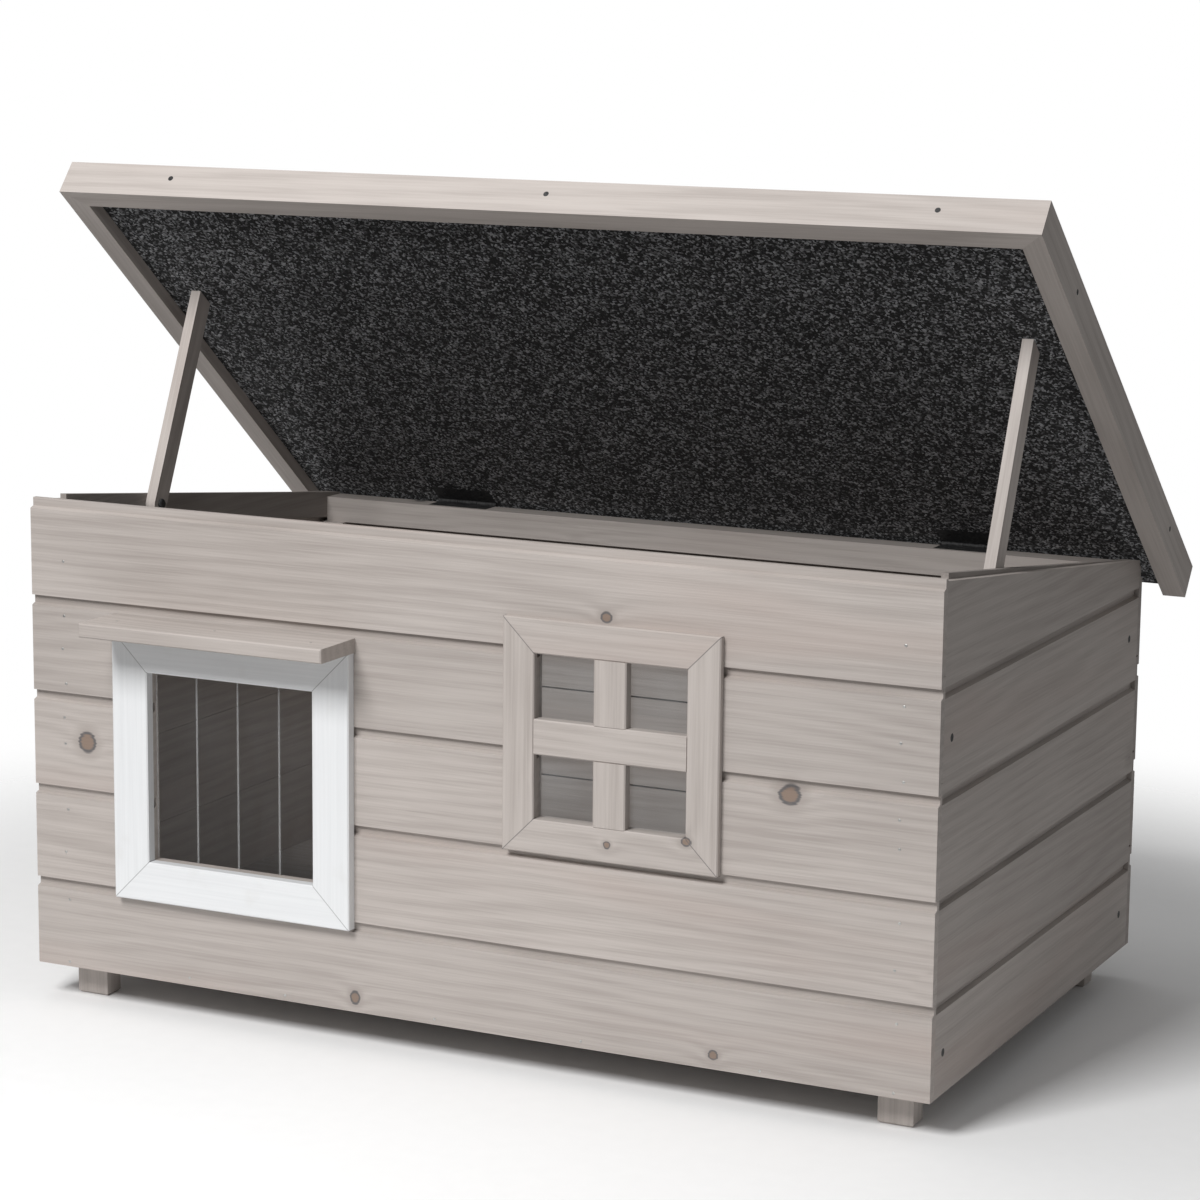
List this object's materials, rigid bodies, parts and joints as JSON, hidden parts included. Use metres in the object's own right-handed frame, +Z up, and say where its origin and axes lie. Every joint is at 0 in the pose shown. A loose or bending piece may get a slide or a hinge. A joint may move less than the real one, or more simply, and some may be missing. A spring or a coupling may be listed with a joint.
{
  "type": "cat house",
  "caption": "Outdoor wooden cat house of shiplap boards on feet, with a strip-curtain door, a barred window and a framed felt lid hinged at the back and held open by folding props.",
  "frame": {"origin": "on the ground under the middle of the whole object as pictured, lid open", "axes": "+X to the right along the front as seen from in front, +Y from the front to the back, +Z up"},
  "size_m": [0.865, 0.5818, 0.6948],
  "materials": {
    "wall_wood": "thin grey glaze over spruce shiplap",
    "frame_wood": "thin grey glaze",
    "white_wood": "opaque white paint, satin",
    "inner_wood": "sawn spruce with a thin grey glaze",
    "floor_wood": "planed spruce",
    "deck_board": "roof board, hidden between two felts",
    "roofing_felt": "bitumen felt with grey mineral granules",
    "clear_strip": "clear soft PVC",
    "clear_pane": "clear acrylic sheet",
    "zinc_steel": "zinc-plated steel",
    "black_steel": "black-coated steel screw"
  },
  "bodies": {
    "cabin": {"back_board_1": "wall_wood", "back_board_2": "wall_wood", "back_board_3": "wall_wood", "back_board_4": "wall_wood", "back_rail": "inner_wood", "curtain_batten": "inner_wood", "curtain_head": "clear_strip", "door_canopy": "frame_wood", "door_frame_bottom": "white_wood", "door_frame_left": "white_wood", "door_frame_right": "white_wood", "door_frame_top": "white_wood", "feet": "inner_wood", "floor_boards": "floor_wood", "front_board_1": "wall_wood", "front_board_2": "wall_wood", "front_board_3_left": "wall_wood", "front_board_3_right": "wall_wood", "front_board_4": "wall_wood", "front_board_5": "wall_wood", "front_posts": "inner_wood", "hinge_lower_leaves": "zinc_steel", "hinge_pins": "zinc_steel", "left_board_1": "wall_wood", "left_board_2": "wall_wood", "left_board_3": "wall_wood", "left_board_4": "wall_wood", "left_board_5": "wall_wood", "left_cleat": "inner_wood", "rear_posts": "inner_wood", "right_board_1": "wall_wood", "right_board_2": "wall_wood", "right_board_3": "wall_wood", "right_board_4": "wall_wood", "right_board_5": "wall_wood", "right_cleat": "inner_wood", "wall_screws": "black_steel", "window_crossbar": "frame_wood", "window_frame_bottom": "frame_wood", "window_frame_left": "frame_wood", "window_frame_right": "frame_wood", "window_frame_top": "frame_wood", "window_lower_bar": "frame_wood", "window_pane": "clear_pane", "window_upper_bar": "frame_wood"},
    "lid": {"lid_trim_front": "frame_wood", "lid_trim_left": "frame_wood", "lid_trim_right": "frame_wood", "lid_deck": "deck_board", "lid_felt": "roofing_felt", "lid_lining": "roofing_felt", "left_prop": "inner_wood", "right_prop": "inner_wood", "prop_screws": "black_steel", "hinge_upper_leaves": "zinc_steel"},
    "curtain_strip_1": {"curtain_strip_1": "clear_strip"},
    "curtain_strip_2": {"curtain_strip_2": "clear_strip"},
    "curtain_strip_3": {"curtain_strip_3": "clear_strip"},
    "curtain_strip_4": {"curtain_strip_4": "clear_strip"}
  },
  "joints": [
    {"name": "lid_hinge", "type": "hinge", "parent": "cabin", "child": "lid", "pos_m": [0, 0.24655, 0.3686], "axis": [-1, 0, 0], "range_deg": [-30.95, 0]},
    {"name": "curtain_swing_1", "type": "hinge", "parent": "cabin", "child": "curtain_strip_1", "pos_m": [-0.26331, -0.23195, 0.2919], "axis": [1, 0, 0], "range_deg": [-75, 75]},
    {"name": "curtain_swing_2", "type": "hinge", "parent": "cabin", "child": "curtain_strip_2", "pos_m": [-0.22434, -0.23195, 0.2919], "axis": [1, 0, 0], "range_deg": [-75, 75]},
    {"name": "curtain_swing_3", "type": "hinge", "parent": "cabin", "child": "curtain_strip_3", "pos_m": [-0.18536, -0.23195, 0.2919], "axis": [1, 0, 0], "range_deg": [-75, 75]},
    {"name": "curtain_swing_4", "type": "hinge", "parent": "cabin", "child": "curtain_strip_4", "pos_m": [-0.14639, -0.23195, 0.2919], "axis": [1, 0, 0], "range_deg": [-75, 75]}
  ]
}
